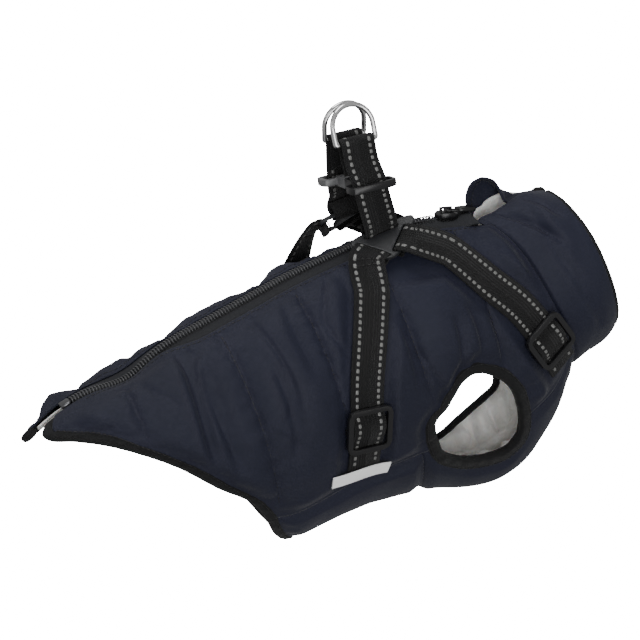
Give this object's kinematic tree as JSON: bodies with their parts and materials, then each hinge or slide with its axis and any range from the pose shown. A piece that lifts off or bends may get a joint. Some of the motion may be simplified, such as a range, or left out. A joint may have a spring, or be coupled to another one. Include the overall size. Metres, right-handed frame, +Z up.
{
  "type": "dog winter coat with built-in harness",
  "caption": "Quilted winter coat for a small dog, filled out as worn, with a back zip, open armholes, padded collar and a webbing harness with two D-rings.",
  "frame": {"origin": "on the wearer's back at the withers, just under the lining below the two harness plates", "axes": "+X toward the neck, +Y toward the far side (left of the wearer), +Z up; the back rises about 20 degrees toward the neck"},
  "size_m": [0.3601, 0.1104, 0.2473],
  "materials": {
    "shell": "matt woven polyester, quilted",
    "fleece": "short fleece",
    "binding": "woven tape",
    "zip_tape": "woven tape and nylon coil",
    "zip_metal": "bright",
    "zip_paint": "satin black",
    "webbing": "woven nylon with two reflective threads",
    "plastic": "satin",
    "grey_plastic": "satin",
    "steel": "polished",
    "label": "smooth satin tape"
  },
  "bodies": {
    "coat": {"side_near": "shell", "side_far": "shell", "belly_panel": "shell", "chest_panel": "shell", "collar_near": "shell", "collar_far": "shell", "lining_near": "fleece", "lining_far": "fleece", "lining_under": "fleece", "collar_lining_near": "fleece", "collar_lining_far": "fleece", "hem_binding_near": "binding", "hem_binding_far": "binding", "hem_binding_belly": "binding", "armhole_binding_near": "binding", "armhole_binding_far": "binding", "rim_binding": "binding", "zip_tape_near": "zip_tape", "zip_tape_far": "zip_tape", "zip_coil": "zip_tape", "zip_box": "zip_metal", "zip_slider": "zip_paint", "belly_strap_near": "webbing", "belly_strap_far": "webbing", "chest_strap_near": "webbing", "chest_strap_far": "webbing", "lead_strap_near": "webbing", "lead_strap_far": "webbing", "plate_near": "plastic", "plate_far": "plastic", "belly_slider_near": "plastic", "belly_slider_far": "plastic", "chest_slider_near": "plastic", "chest_slider_far": "plastic", "buckle_near": "plastic", "buckle_far": "grey_plastic", "care_label": "label"},
    "zip_pull": {"zip_pull": "zip_paint"},
    "ring_near": {"ring_near": "steel"},
    "ring_far": {"ring_far": "steel"}
  },
  "joints": [
    {"name": "zip_pull_hinge", "type": "hinge", "parent": "coat", "child": "zip_pull", "pos_m": [0.03793, 0, 0.01764], "axis": [0, -1, 0], "range_deg": [0, 150]},
    {"name": "ring_near_hinge", "type": "hinge", "parent": "coat", "child": "ring_near", "pos_m": [-0.0225, -0.009, 0.0645], "axis": [0.9925, 0, 0.1219], "range_deg": [-5, 100]},
    {"name": "ring_far_hinge", "type": "hinge", "parent": "coat", "child": "ring_far", "pos_m": [-0.021, 0.009, 0.0635], "axis": [-0.9925, 0, -0.1219], "range_deg": [-5, 100]}
  ]
}
